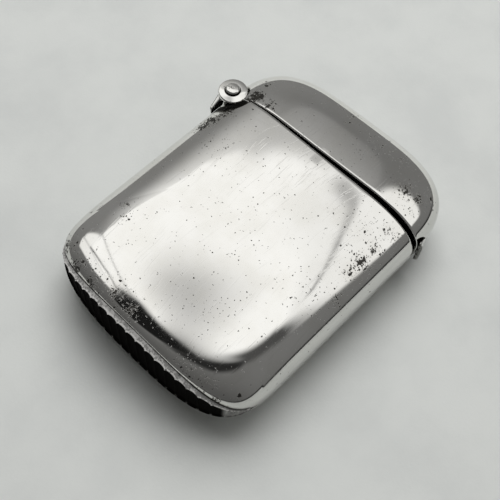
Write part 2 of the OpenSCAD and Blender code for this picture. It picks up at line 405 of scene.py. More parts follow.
@dataclass
class ShellPair:
    """The front and back shells of the body or of the lid.

    A half shell is a fan of rays from the middle of the mouth, carried over the crown, with an inner
    fan one wall inside it and a rim rounded along the mouth. A ray's end has four numbers: x away from
    the mouth, y, the share of the way to the outline, and the height of the edge above the seam.

    Attributes:
        along: Direction from the mouth along the case.
        turn_weight: Weight of turning beside length where points are spread along the outline.
        fall: Slope of the front's flat down from the rim.
        rim_bright: Unshaded part of the rim's profile, beside a part of 1 over which painted shade grows.
    """

    form: CaseForm
    finish: bpy.types.Material
    ride: Ride
    along: float
    flat_steps: int = 10
    roll_steps: int = 54
    notch_steps: int = 16
    rim_steps: int = 6
    turn_weight: float = 1.6
    fall: float = 0.0
    rim_bright: float = 0.0

    def notch(self, axis_x: float, gap: float) -> np.ndarray:
        """Plan points on the round of the hinge notch, from the mouth to the side.

        Args:
            axis_x: Place of the pin past the mouth, away from the shell's own mouth line.
            gap: Room between the barrel and the notch.

        Returns:
            Points of shape (notch_steps + 1, 2), with x growing away from the mouth.
        """
        f = self.form
        radius = f.barrel_r + gap
        first = math.asin(-axis_x / radius)
        last = math.acos(radius / f.hinge_y) - math.radians(f.notch_slack)
        turn = np.linspace(first, last, self.notch_steps + 1)
        x = axis_x + radius * np.sin(turn)
        x[0] = 0
        return np.stack([x, f.hinge_y - radius * np.cos(turn)], -1)

    def rays(self, inset: float) -> np.ndarray:
        """Ends of the rays, of shape (rays, 4), for a fan that lies inset inside the outer surface."""
        raise NotImplementedError

    def fan(self, rays: np.ndarray, top: float, reach: float, fall: float) -> np.ndarray:
        """Points on the crown along every ray: (k x, k y) at height e + (top - fall x - e) roll(s k).

        Args:
            rays: Ends of the rays.
            top: Height of the flat above the seam.
            reach: Length of the shell, which is scaled to leave room for the rounded rim.
            fall: Slope of the flat down from the rim.

        Returns:
            Points of shape (rays, levels, 3), above a seam at height 0.
        """
        f = self.form
        k = f.levels(self.flat_steps, self.roll_steps)[None, :]
        x = f.rim_run + rays[:, :1] * k * (reach - f.rim_run) / reach
        y = rays[:, 1:2] * k
        z = rays[:, 3:] + (top - fall * (x - f.rim_run) - rays[:, 3:]) * f.roll(rays[:, 2:3] * k)
        return np.stack([self.along * x, y, z], -1)

    def rim(self, outer: np.ndarray, inner: np.ndarray) -> np.ndarray:
        """The mouth's rim: a quarter oval from the outer skin, a flat, and a quarter oval inside.

        The profile is carried along the mouth, each of its points moved off the skin along the
        normal of the mouth's line in the plane of the mouth.

        Args:
            outer: Outer fan.
            inner: Inner fan.

        Returns:
            Points of shape (places along the mouth, profile points, 3).
        """
        f = self.form
        turn = np.linspace(0, np.pi / 2, self.rim_steps + 1)
        sides = []
        for fan, sign in ((outer, -1.0), (inner, 1.0)):
            line = np.concatenate([fan[0, ::-1], fan[-1, 1:]])
            run = np.gradient(line[:, 1:], axis=0)
            out = np.stack([run[:, 1], -run[:, 0]], -1)
            out /= np.linalg.norm(out, axis=1, keepdims=True)
            out[-1] = (-1, 0)
            move = sign * f.rim_round * (1 - np.cos(turn))
            yz = line[:, None, 1:] + move[None, :, None] * out[:, None, :]
            x = np.broadcast_to(self.along * f.rim_run * (1 - np.sin(turn)), yz.shape[:2])
            sides.append(np.concatenate([x[..., None], yz], -1))
        return np.concatenate([sides[0], sides[1][:, ::-1]], axis=1)

    def settle(self, points: np.ndarray, half: Half) -> np.ndarray:
        """Puts points drawn above a seam at height 0 on their side of the case's seam."""
        return points * np.array([1, 1, half.value]) + np.array([0, 0, self.form.mid_z])

    def lengths(self) -> tuple[float, float]:
        """Lengths of the outer and inner fans."""
        raise NotImplementedError

    def painted_shade(self, rays: np.ndarray, outer: np.ndarray) -> np.ndarray:
        """Painted shade on the outer skin: none, unless a pair says otherwise."""
        return np.zeros(outer.shape[:2])

    def build(self, name: str, half: Half, node: str) -> bpy.types.Object:
        """Builds one half shell and puts it in the place of its solid.

        Args:
            name: Name of the piece.
            half: Front or back.
            node: Solid that it replaces.

        Returns:
            The new piece.
        """
        f = self.form
        outer_len, inner_len = self.lengths()
        rays = self.rays(0.0)
        fall = self.fall if half is Half.FRONT else 0.0
        outer = self.fan(rays, f.mid_z, outer_len, fall)
        inner = self.fan(self.rays(f.wall), f.mid_z - f.wall, inner_len, fall)
        rim = self.rim(outer, inner)
        seam = np.stack([outer[:, -1], inner[:, -1]], 0)
        # Painted shade: full on the inner fan, growing across the rim towards the inside, half on the seam
        # and the end caps.
        edge = np.clip(np.linspace(-self.rim_bright, 1, rim.shape[1]), 0, 1)[None, :]
        grids = [(outer, self.painted_shade(rays, outer)), (inner, 1.0), (rim, edge), (seam, HIDDEN_MARK)]
        patches = [Patch(self.settle(p, half), m) for p, m in grids]
        piece = make_piece(name, patches, [self.settle(rim[0], half), self.settle(rim[-1], half)])
        place(piece, self.ride, Slot.SILVER, self.finish, node)
        return piece


@dataclass
class BodyShells(ShellPair):
    """The two shells of the body, which run from the mouth to the striker."""

    side_count: int = 260
    dense: int = 1500
    corner_share: float = 0.8
    first_gap: float = 0.05
    # Painted shade along the lip at the striker, and the reach and edge of the black painted shade under
    # the hinge.
    lip_rise: float = 0.4
    lip_shade: float = 0.75
    lip_steps: int = 4
    black_shade_reach: float = 1.04
    black_shade_edge: float = 0.12

    def rays(self, inset: float) -> np.ndarray:
        """Ends of the body's rays: round the notch, along the side, the striker end and the far side.

        Args:
            inset: Distance inside the outer surface.

        Returns:
            Array of shape (rays, 4).
        """
        f = self.form
        half_w = f.half_w - inset
        half_t = f.striker_t / 2 - inset
        notch = self.notch(-f.hinge_x, f.notch_gap)
        start = notch[-1, 0] * half_w / notch[-1, 1] + f.seat_gap
        corner_y = self.corner_share * half_w
        corner_x = float(f.body_end(np.array(corner_y), half_w))
        x = corner_x * np.linspace(0, 1, self.dense)
        near = np.stack([x, f.body_side(x, half_w)], -1)
        y = np.linspace(corner_y, -corner_y, self.dense)[1:-1]
        end = np.stack([f.body_end(y, half_w), y], -1)
        far = near[::-1] * np.array([1, -1])
        near = np.concatenate([[[start, half_w]], near[near[:, 0] > start + self.first_gap]])
        line = even_by_turn(np.concatenate([near, end, far]), self.side_count, self.turn_weight)
        edge = f.striker_edge(line[:, 1], half_w, half_t)
        sides = np.stack([line[:, 0], line[:, 1], np.ones(len(line)), edge], -1)
        cut = np.stack([notch[:, 0], notch[:, 1], notch[:, 1] / half_w, np.zeros(len(notch))], -1)
        return np.concatenate([cut, sides])

    def painted_shade(self, rays: np.ndarray, outer: np.ndarray) -> np.ndarray:
        """Painted shade along the striker's lip, and black painted shade in an oval under the hinge's bell.

        The oval is where ((x - pin)/run)^2 + ((y - pin)/depth)^2 is under its reach, drawn over a
        narrow edge. A mark above 1 stands for black painted shade.

        Args:
            rays: Ends of the rays.
            outer: Outer fan.

        Returns:
            Mark at every point of the fan, from 0 to 1.5.
        """
        f = self.form
        steps = np.arange(outer.shape[1])[::-1][None, :]
        near = np.clip((self.lip_steps - steps) / (self.lip_steps - 1), 0, 1)
        lip = np.clip(rays[:, 3:] / self.lip_rise, 0, 1) * self.lip_shade * near
        along = (outer[..., 0] - f.hinge_x) / f.black_shade_run
        across = (outer[..., 1] - f.hinge_y) / f.black_shade_depth
        oval = np.clip((self.black_shade_reach - along**2 - across**2) / self.black_shade_edge, 0, 1)
        return np.maximum(lip, BLACK_SHADE_MARK * oval)

    def lengths(self) -> tuple[float, float]:
        """Both fans end at the striker plate."""
        return self.form.shell_len, self.form.shell_len


@dataclass
class LidShells(ShellPair):
    """The two shells of the lid, turned about the pin to where the lid stands ajar."""

    side_count: int = 200
    dense: int = 4000

    def rays(self, inset: float) -> np.ndarray:
        """Ends of the lid's rays: round the notch, then along the outline to the far side of the rim.

        The outline is x = len cos(t)^(2/side), y = hw sin(t)^(2/end).

        Args:
            inset: Distance inside the outer surface.

        Returns:
            Array of shape (rays, 4).
        """
        f = self.form
        half_w = f.half_w - inset
        length = f.lid_len - inset
        notch = self.notch(f.hinge_x - f.rim_gap, f.lid_notch_gap)
        start = notch[-1, 0] * half_w / notch[-1, 1] + f.seat_gap
        first = math.acos((start / length) ** (f.lid_side_power / 2))
        turn = np.linspace(first, -np.pi / 2, self.dense)
        x = length * np.maximum(0, np.cos(turn)) ** (2 / f.lid_side_power)
        y = half_w * np.sign(np.sin(turn)) * np.abs(np.sin(turn)) ** (2 / f.lid_end_power)
        line = even_by_turn(np.stack([x, y], -1), self.side_count, self.turn_weight)
        sides = np.stack([line[:, 0], line[:, 1], np.ones(len(line)), np.zeros(len(line))], -1)
        full = f.lid_side(notch[:, 0], half_w, length)
        cut = np.stack([notch[:, 0], notch[:, 1], notch[:, 1] / full, np.zeros(len(notch))], -1)
        return np.concatenate([cut, sides])

    def lengths(self) -> tuple[float, float]:
        """The inner fan ends one wall short of the outer one."""
        return self.form.lid_len, self.form.lid_len - self.form.wall

    def settle(self, points: np.ndarray, half: Half) -> np.ndarray:
        """Puts points on their side of the seam, past the rim's gap, and turns them with the lid."""
        moved = super().settle(points, half) + np.array([self.form.rim_gap, 0, 0])
        return self.form.turn_lid(moved)


@dataclass
class Striker:
    """The bowed plate that closes the end, with half-round flutes across its face."""

    form: CaseForm
    finish: bpy.types.Material
    flutes: int = 20
    flute_depth: float = 0.19
    land_w: float = 0.12
    bevel: float = 0.3
    reach_share: float = 0.985
    end_share: float = 0.35
    end_power: float = 4.0
    edge_round: float = 0.09
    round_share: float = 0.45
    flute_steps: int = 14
    round_steps: int = 4
    ledge_steps: int = 3
    face_steps: int = 9
    foot_steps: int = 14
    face_low: float = -0.68
    foot_high: float = -0.71
    foot_low: float = -0.97
    foot_out: float = 0.1
    foot_rise: float = 0.26
    flute_rise: float = 0.3
    foot_edge: float = 0.05
    land_scoop: float = 0.85
    groin_scoop: float = 0.12
    groin_edge: float = 0.1
    groin_mark: float = 0.75
    scrape_gain: float = 2.0
    scrape_from: float = 0.3
    ledge_soot: float = 0.22
    clean_from: float = -12.6
    clean_run: float = 2.6

    def stations(self) -> tuple[np.ndarray, np.ndarray, np.ndarray, np.ndarray]:
        """Places across the plate: each flute is a half round, cos t deep at sin t, between two lands.

        Returns:
            The places across the case, the depth of the plate at each, how far each counts as the
            bottom of a flute, from 0 on a land to 1, and the share of the full depth left there.
        """
        f = self.form
        reach = (f.half_w - f.striker_inset) * self.reach_share
        pitch = 2 * reach / self.flutes
        turn = np.linspace(-np.pi / 2, np.pi / 2, self.flute_steps + 1)
        middles = -reach + pitch * (np.arange(self.flutes) + 0.5)
        y = (middles[:, None] + (pitch - self.land_w) / 2 * np.sin(turn)[None, :]).ravel()
        scoop = np.tile(np.cos(turn), self.flutes)
        y = np.concatenate([[-reach], y, [reach]])
        scoop = np.concatenate([[0], scoop, [0]])
        share = self.end_share + (1 - self.end_share) * (1 - (y / reach) ** self.end_power)
        depth = np.maximum((f.striker_depth - self.flute_depth * scoop) * share, 2 * f.seat_gap)
        return y, depth, scoop, share

    def build(self) -> bpy.types.Object:
        """Builds the plate: at every station a ledge, a rounded edge, the face and the same below.

        The mark for soot is low on the ledge, rises from 0 over the rounded edge to 1 on the face, and
        falls to 0 where a land flares out at its foot to the straight lower edge, scraped bright there.
        Towards the thumb's side the face is rubbed clean.

        Returns:
            The new piece.
        """
        f = self.form
        y, depth, scoop, share = self.stations()
        high = f.striker_edge(y, f.half_w, f.striker_t / 2)
        low = high * (1 - self.bevel / f.striker_t * 2 * depth / f.striker_depth)
        back = -f.body_end(y, f.half_w) - f.seat_gap
        soft = np.minimum(self.edge_round, self.round_share * np.minimum(depth, low))
        turn = np.linspace(0, np.pi / 2, self.round_steps + 1)[None, :]
        ledge = np.linspace(0, 1, self.ledge_steps + 1)[None, :-1]
        front = (back - depth + self.foot_out)[:, None]
        stout = np.clip(1 - scoop / self.land_scoop, 0, 1)[:, None]
        groin = np.clip((self.groin_scoop - scoop) / self.groin_edge, 0, self.groin_mark)[:, None]
        face = np.linspace(1, self.face_low, self.face_steps + 1)[1:]
        foot = np.linspace(self.foot_high, self.foot_low, self.foot_steps + 1)
        rows = np.concatenate([face, foot])[None, :]
        rise = self.foot_rise * (self.flute_rise + (1 - self.flute_rise) * stout)
        fill = np.clip((self.foot_low - rows + rise) / self.foot_edge, 0, 1)
        scraped = fill * np.clip(self.scrape_gain * stout - self.scrape_from, 0, 1) * (1 - groin)
        ledge_x = back[:, None] + (front + soft[:, None] - back[:, None]) * ledge
        ledge_z = high[:, None] + (low - high)[:, None] * ledge
        round_x = front + soft[:, None] * (1 - np.sin(turn))
        round_z = (low - soft)[:, None] + soft[:, None] * np.cos(turn)
        face_z = (low - soft)[:, None] * rows
        line = (back - f.striker_depth * share)[:, None]
        face_x = front + (line - front) * fill
        under_x = round_x[:, ::-1] + (line - front) * fill[:, -1:]
        x = np.concatenate([ledge_x, round_x, face_x, under_x, ledge_x[:, ::-1]], axis=1)
        z = np.concatenate([ledge_z, round_z, face_z, -round_z[:, ::-1], -ledge_z[:, ::-1]], axis=1)
        skin = np.stack([x, np.broadcast_to(y[:, None], x.shape), z + f.mid_z], -1)
        growth = np.linspace(0, 1, self.round_steps + 1) ** 2
        edge = np.concatenate([np.full(self.ledge_steps, self.ledge_soot), growth])
        upper = np.broadcast_to(edge[None, :], (len(y), len(edge)))
        lower = np.broadcast_to(1 - scraped[:, -1:], (len(y), self.round_steps + 1))
        base = np.full((len(y), self.ledge_steps), self.ledge_soot)
        clean = np.clip((self.clean_from - y) / self.clean_run, 0, 1)[:, None]
        soot = np.concatenate([upper, 1 - scraped, lower, base], axis=1)
        soot = soot + (np.minimum(soot, self.ledge_soot) - soot) * clean
        piece = make_piece("striker_fluted", [Patch(skin, soot, ring=True)], [skin[0], skin[-1]])
        place(piece, Ride.CASE, Slot.STRIKER, self.finish, "striker_plate")
        return piece


def revolve(profile: np.ndarray, axis: tuple[float, float], steps: int) -> np.ndarray:
    """Carries a profile of (radius, height) round an upright axis.

    Args:
        profile: Points of shape (count, 2).
        axis: Place of the axis in plan.
        steps: Steps round the turn.

    Returns:
        Points of shape (count, steps, 3), which join into a ring.
    """
    turn = np.linspace(0, 2 * np.pi, steps, endpoint=False)[None, :]
    radius = profile[:, :1]
    x = axis[0] + radius * np.cos(turn)
    y = axis[1] + radius * np.sin(turn)
    return np.stack([x, y, np.broadcast_to(profile[:, 1:], x.shape)], -1)


def fillet_line(corners: np.ndarray, steps: int) -> np.ndarray:
    """Rounds the corners of a line with quadratic curves that start a cut short of each corner.

    Args:
        corners: Rows of x, y and the distance cut off at the corner, 0 at the ends.
        steps: Steps of each curve.

    Returns:
        The rounded line, of shape (points, 2).
    """
    spots, cuts = corners[:, :2], corners[:, 2:]
    before = np.roll(spots, 1, axis=0) - spots
    after = np.roll(spots, -1, axis=0) - spots
    before /= np.maximum(np.linalg.norm(before, axis=1, keepdims=True), LEAST)
    after /= np.maximum(np.linalg.norm(after, axis=1, keepdims=True), LEAST)
    a = spots + before * cuts
    c = spots + after * cuts
    t = np.linspace(0, 1, steps + 1)[None, :, None]
    curve = (1 - t) ** 2 * a[:, None] + 2 * t * (1 - t) * spots[:, None] + t**2 * c[:, None]
    line = curve.reshape(-1, 2)
    keep = np.concatenate([[True], np.linalg.norm(np.diff(line, axis=0), axis=1) > SAME_SPOT])
    return line[keep]


@dataclass
class Hinge:
    """The barrel at the side: the body's two knuckles with their bells, the lid's knuckle and the pin."""

    form: CaseForm
    finish: bpy.types.Material
    pin_r: float = 0.6
    bore_r: float = 0.65
    head_r: float = 1.05
    head_h: float = 0.42
    low_z: float = 1.35
    brim_z: float = 3.7
    brim_r: float = 2.18
    brim_lean: float = 0.1
    brim_fall: float = 0.14
    fall_way: float = 3.82
    top_z: float = 4.0
    bell_r: float = 1.2
    bell_in: float = 0.06
    bell_rise: float = 0.22
    neck_in: float = 0.05
    neck_drop: float = 0.35
    brim_t: float = 0.22
    brim_slope: float = 0.12
    crown_rise: float = 0.19
    groove_rise: float = 0.14
    groove_in: float = 0.02
    lean_edge: float = 0.12
    lean_run: float = 0.6
    # Black painted shade on the barrel's wall under the brim, where it faces the case.
    wall_drop: float = 0.2
    wall_edge: float = 0.1
    wall_facing: float = 2.0
    dimple: float = 0.06
    dimple_r: float = 0.13
    dish_r: float = 0.2
    shoulder_r: float = 0.88
    shoulder_drop: float = 0.04
    side_drop: float = 0.2
    # Painted shade on the pin below the button's crown.
    shade_drop: float = 0.16
    shade_edge: float = 0.06
    foot_gap: float = 0.03
    lid_half: float = 1.2
    body_leaf: float = 3.85
    leaf_tip_z: float = 2.1
    lid_leaf: float = 3.3
    leaf_t: float = 0.5
    leaf_power: float = 0.35
    leaf_in: float = 0.12
    leaf_steps: int = 21
    skin_steps: int = 18
    seat_steps: int = 4
    seat_share: float = 0.85
    tip_run: float = 0.1
    tip_least: float = 0.02
    steps: int = 72

    @property
    def axis(self) -> tuple[float, float]:
        """Place of the pin's axis in plan."""
        return self.form.hinge_x, self.form.hinge_y

    def barrel(self, line: np.ndarray) -> Patch:
        """A knuckle turned from its profile of (radius, height above the seam).

        The wall under the brim, only where it faces the case, is painted with black shade, and the groove
        round the button with shade. The brim leans towards the case and falls away towards the striker.

        Args:
            line: Profile, from the bore round to the bore.

        Returns:
            The knuckle's skin.
        """
        profile = np.concatenate([line, line[:1]])
        points = revolve(profile, self.axis, self.steps)
        turn = np.linspace(0, 2 * np.pi, self.steps, endpoint=False)[None, :]
        radius, height = profile[:, :1], profile[:, 1:]
        over = np.clip((height - self.brim_z + self.neck_drop) / self.lean_edge, 0, 1)
        over = over * np.clip((radius - self.bell_r) / self.lean_run, 0, 1)
        points[..., 1] -= self.brim_lean * over
        outward = np.clip((radius - self.bell_r) / (self.brim_r - self.bell_r), 0, 1) * (over > 0)
        points[..., 2] -= self.brim_fall * outward * np.maximum(0, np.cos(turn - self.fall_way))
        # Painted shade: black on the wall under the brim where it faces the case, and in the groove round
        # the button.
        wall = np.clip((self.brim_z - self.wall_drop - height) / self.wall_edge, 0, 1)
        wall = BLACK_SHADE_MARK * wall * (height > self.lid_half)
        groove = (radius < self.bell_r - self.groove_in) & (height > self.brim_z)
        facing = np.clip(-self.wall_facing * np.sin(turn), 0, 1)
        return Patch(points, np.maximum(wall * facing, groove), ring=True)

    def leaf(
        self, length: float, low: float, high: float, tip: float, along: float
    ) -> tuple[Patch, list[np.ndarray]]:
        """A leaf that tapers straight from the barrel to its tip along the side, with rounded edges.

        At share u of its length its thickness is root + (t - root) u and its upper edge is
        high + (tip - high) u. Its section is a superellipse, (cos^power, sin^power), on a flat seat,
        which is painted with shade.

        Args:
            length: Length from the pin's axis.
            low: Lower edge above the seam.
            high: Upper edge above the seam at the barrel.
            tip: Upper edge above the seam at the tip.
            along: Direction along the case.

        Returns:
            The leaf's skin and its two end caps.
        """
        f = self.form
        u = np.linspace(0, 1, self.leaf_steps + 1)[:, None]
        seat = f.half_w + f.seat_gap
        root = f.hinge_y + f.barrel_r - self.leaf_in - seat
        thick = root + (self.leaf_t - root) * u
        near_tip = np.clip((u - 1 + self.tip_run) / self.tip_run, 0, 1)
        thick = thick * np.sqrt(np.clip(1 - near_tip**2, self.tip_least, 1))
        turn = np.linspace(np.pi, 0, self.skin_steps + 1)[None, :]
        under = np.linspace(-self.seat_share, self.seat_share, self.seat_steps + 1)[None, :]
        out = np.concatenate([np.abs(np.sin(turn)) ** self.leaf_power, 0 * under], axis=1)
        bow = -np.sign(np.cos(turn)) * np.abs(np.cos(turn)) ** self.leaf_power
        rise = np.concatenate([bow, under], axis=1)
        top = high + (tip - high) * u
        z = (low + top) / 2 + (top - low) / 2 * rise
        x = np.broadcast_to(f.hinge_x + along * length * u, z.shape)
        skin = np.stack([x, seat + thick * out, z], -1)
        # The seat against the case is painted with shade.
        mark = np.concatenate([0 * turn, 0 * under + 1], axis=1)
        return Patch(skin, mark, ring=True), [skin[0], skin[-1]]

    def knuckle(self, name: str, half: Half, node: str) -> bpy.types.Object:
        """Builds one of the body's knuckles: barrel, brim, bell and leaf.

        Args:
            name: Name of the piece.
            half: Front or back.
            node: Solid that it replaces.

        Returns:
            The new piece.
        """
        neck = self.form.barrel_r - self.neck_in
        under = self.brim_z - self.neck_drop
        floor = self.brim_z + self.groove_rise
        corners = np.array(
            [
                (self.bore_r, self.low_z, 0),
                (neck, self.low_z, 0.08),
                (neck, under, 0.05),
                (self.brim_r, self.brim_z - self.brim_t, 0.06),
                (self.brim_r, self.brim_z, 0.08),
                (self.brim_r - self.brim_slope, self.brim_z + self.crown_rise, 0.08),
                (self.bell_r, self.brim_z + self.bell_rise, 0.03),
                (self.bell_r - self.bell_in, floor, 0.03),
                (self.bore_r, floor, 0),
            ]
        )
        line = fillet_line(corners, steps=5)
        skin, caps = self.leaf(self.body_leaf, self.low_z, under, self.leaf_tip_z, -1.0)
        turned = np.array([1, 1, half.value])
        lift = np.array([0, 0, self.form.mid_z])
        patches = [Patch(p.points * turned + lift, p.inner, p.ring) for p in (self.barrel(line), skin)]
        piece = make_piece(name, patches, [c * turned + lift for c in caps])
        place(piece, Ride.CASE, Slot.SILVER, self.finish, node)
        return piece

    def lid_knuckle(self) -> bpy.types.Object:
        """Builds the lid's knuckle in the middle of the barrel, with its leaf on the lid's side.

        Returns:
            The new piece.
        """
        r = self.form.barrel_r
        h = self.lid_half
        corners = np.array([(self.bore_r, -h, 0), (r, -h, 0.08), (r, h, 0.08), (self.bore_r, h, 0)])
        line = fillet_line(corners, steps=4)
        skin, caps = self.leaf(self.lid_leaf, -h, h, h, 1.0)
        lift = np.array([0, 0, self.form.mid_z])
        turn = self.form.turn_lid
        patches = [Patch(turn(p.points + lift), p.inner, p.ring) for p in (self.barrel(line), skin)]
        piece = make_piece("hinge_knuckle_lid", patches, [turn(c + lift) for c in caps])
        place(piece, Ride.LID, Slot.SILVER, self.finish, "lid_knuckle")
        return piece

    def pin(self) -> bpy.types.Object:
        """Builds the pin: a shank with a peened button at each end, dimpled on top, with painted shade at
        its foot.

        Returns:
            The new piece.
        """
        top = self.top_z + self.head_h
        foot = self.brim_z + self.groove_rise + self.foot_gap
        corners = np.array(
            [
                (0.0, top - self.dimple, 0),
                (self.dimple_r, top - self.dimple, 0.03),
                (self.dish_r, top, 0.05),
                (self.shoulder_r, top - self.shoulder_drop, 0.12),
                (self.head_r, top - self.side_drop, 0.06),
                (self.head_r, foot, 0.03),
                (self.pin_r, foot, 0.03),
                (self.pin_r, 0.0, 0),
            ]
        )
        upper = fillet_line(corners, steps=6)
        lower = upper[::-1][1:] * np.array([1, -1])
        line = np.concatenate([upper, lower])
        points = revolve(line, self.axis, self.steps) + np.array([0, 0, self.form.mid_z])
        # Painted shade below the button's crown, where it sits in the groove.
        shade = np.clip((top - self.shade_drop - np.abs(line[:, 1:])) / self.shade_edge, 0, 1)
        piece = make_piece("hinge_pin_peened", [Patch(points, shade, ring=True)])
        place(piece, Ride.CASE, Slot.SILVER, self.finish, "hinge_pin")
        return piece

    def build(self) -> None:
        """Builds all four pieces of the hinge."""
        self.knuckle("hinge_knuckle_front", Half.FRONT, "front_knuckle")
        self.knuckle("hinge_knuckle_back", Half.BACK, "back_knuckle")
        self.lid_knuckle()
        self.pin()


@dataclass
class ThumbPiece:
    """The flared lip on the lid's side, hollowed towards the rim."""

    form: CaseForm
    finish: bpy.types.Material
    length: float = 4.5
    run: float = 2.3
    proud: float = 0.66
    power: float = 2.2
    edge_power: float = 5.0
    rings: int = 21
    spokes: int = 40
    # Painted shade along the lip's outer edge; the edge strip's mark is too faint to darken it.
    crease_from: float = 0.92
    crease_run: float = 0.07
    crease_shade: float = 0.45
    side_mark: float = 0.3

    def build(self) -> bpy.types.Object:
        """Builds the lip over a half disc: proud (1 - x/run)^power, brought down to the side at its edge.

        Returns:
            The new piece.
        """
        f = self.form
        share = np.sin(np.linspace(0, np.pi / 2, self.rings + 1))[:, None]
        turn = np.linspace(-np.pi / 2, np.pi / 2, self.spokes + 1)[None, :]
        reach = self.length / 2
        x = np.minimum(reach * share * np.cos(turn), self.run)
        z = reach * share * np.sin(turn)
        lift = self.proud * (1 - x / self.run) ** self.power * (1 - share**self.edge_power) ** 0.5
        seat = -f.half_w - f.seat_gap
        top = np.stack([x + f.rim_gap, seat - lift, z + f.mid_z], -1)
        base = np.stack([x + f.rim_gap, np.full(x.shape, seat), z + f.mid_z], -1)
        rim_top = np.concatenate([top[::-1, 0], top[1:, -1]])
        rim_base = np.concatenate([base[::-1, 0], base[1:, -1]])
        near_edge = np.clip((share - self.crease_from) / self.crease_run, 0, 1)
        crease = self.crease_shade * np.broadcast_to(near_edge, x.shape)
        side = np.stack([rim_top, rim_base], 0)
        # Painted shade along the outer edge and on the seat against the lid.
        grids = [(top, crease), (base, 1.0), (side, self.side_mark)]
        piece = make_piece("thumb_lip", [Patch(f.turn_lid(g), m) for g, m in grids])
        place(piece, Ride.LID, Slot.SILVER, self.finish, "thumb_piece")
        return piece


class Wiring:
    """Adds nodes to a node tree and joins their sockets."""

    def __init__(self, tree: bpy.types.NodeTree) -> None:
        """Keeps the tree that nodes go into."""
        self.tree = tree

    def feed(self, socket: bpy.types.NodeSocket, value: object) -> None:
        """Joins a socket to another one, or sets its number or colour.

        Args:
            socket: Input socket.
            value: Output socket, number, or tuple of numbers.
        """
        if isinstance(value, bpy.types.NodeSocket):
            self.tree.links.new(value, socket)
        else:
            socket.default_value = value

    def node(
        self, kind: str, inputs: dict[str | int, object] | None = None, **settings: object
    ) -> bpy.types.Node:
        """Adds one node.

        Args:
            kind: Type of the node.
            inputs: Values or sockets for its inputs, by name or number.
            **settings: Its properties.

        Returns:
            The new node.
        """
        made = self.tree.nodes.new(kind)
        for key, value in settings.items():
            setattr(made, key, value)
        for key, value in (inputs or {}).items():
            self.feed(made.inputs[key], value)
        return made

    def math(self, operation: str, a: object, b: object = 0.0, clamp: bool = False) -> bpy.types.NodeSocket:
        """Adds a Math node and gives its result."""
        return self.node("ShaderNodeMath", {0: a, 1: b}, operation=operation, use_clamp=clamp).outputs[0]

    def line(
        self, value: object, slope: object, start: object, clamp: bool = False
    ) -> bpy.types.NodeSocket:
        """Adds a start plus slope times a value."""
        return self.math("ADD", self.math("MULTIPLY", value, slope), start, clamp)

    def ramp(
        self, value: object, low: float, high: float, to_low: float = 0.0, to_high: float = 1.0
    ) -> bpy.types.NodeSocket:
        """Adds a smooth step from to_low at low to to_high at high."""
        inputs = {"Value": value, "From Min": low, "From Max": high, "To Min": to_low, "To Max": to_high}
        return self.node("ShaderNodeMapRange", inputs, interpolation_type="SMOOTHSTEP").outputs[0]

    def blend(self, share: object, a: object, b: object) -> bpy.types.NodeSocket:
        """Adds a colour mix.

        Args:
            share: How far the mix goes from the first colour to the second.
            a: First colour.
            b: Second colour.

        Returns:
            The mixed colour.
        """
        made = self.node("ShaderNodeMix", data_type="RGBA")
        self.feed(made.inputs[0], share)
        self.feed(made.inputs[6], a)
        self.feed(made.inputs[7], b)
        return made.outputs[2]

    def vector(self, operation: str, a: object, b: object) -> bpy.types.NodeSocket:
        """Adds a Vector Math node and gives its vector; in SCALE, b is the factor."""
        key = "Scale" if operation == "SCALE" else 1
        return self.node("ShaderNodeVectorMath", {0: a, key: b}, operation=operation).outputs[0]

    def dot(self, a: object, b: object) -> bpy.types.NodeSocket:
        """Adds the dot product of two vectors."""
        return self.node("ShaderNodeVectorMath", {0: a, 1: b}, operation="DOT_PRODUCT").outputs["Value"]

    def noise(self, vector: object, scale: object, detail: float, rough: float = 0.5) -> bpy.types.Node:
        """Adds a Noise texture."""
        inputs = {"Vector": vector, "Scale": scale, "Detail": detail, "Roughness": rough}
        return self.node("ShaderNodeTexNoise", inputs)

    def group(self, tree: bpy.types.NodeTree, vector: object, **inputs: object) -> bpy.types.Node:
        """Places a node group on a vector, with values for its other inputs."""
        return self.node("ShaderNodeGroup", {"Vector": vector, **inputs}, node_tree=tree)

    def spot(self) -> bpy.types.NodeSocket:
        """Adds the place on the piece, in its own coordinates."""
        return self.node("ShaderNodeTexCoord").outputs["Object"]

    def mark(self, name: str) -> bpy.types.NodeSocket:
        """Reads a mark from the points of the mesh."""
        return self.node("ShaderNodeAttribute", attribute_name=name).outputs["Fac"]

    def bump(self, shader: bpy.types.Node, height: object, strength: float, distance: float) -> None:
        """Bends a shader's normal by a height."""
        inputs = {"Strength": strength, "Distance": distance, "Height": height}
        self.feed(shader.inputs["Normal"], self.node("ShaderNodeBump", inputs).outputs[0])


def new_group(name: str, inputs: dict[str, float | None], outputs: tuple[str, ...]) -> bpy.types.NodeTree:
    """Starts a shader node group with named sockets.

    Args:
        name: Name of the group.
        inputs: Start value of each number that goes in, or None for a vector.
        outputs: Names of the numbers that come out.

    Returns:
        The group, with its input and output nodes in place.
    """
    group = bpy.data.node_groups.new(name, "ShaderNodeTree")
    for label, start in inputs.items():
        kind = "NodeSocketVector" if start is None else "NodeSocketFloat"
        socket = group.interface.new_socket(label, in_out="INPUT", socket_type=kind)
        if start is not None:
            socket.default_value = start
    for label in outputs:
        group.interface.new_socket(label, in_out="OUTPUT", socket_type="NodeSocketFloat")
    group.nodes.new("NodeGroupInput")
    group.nodes.new("NodeGroupOutput")
    return group


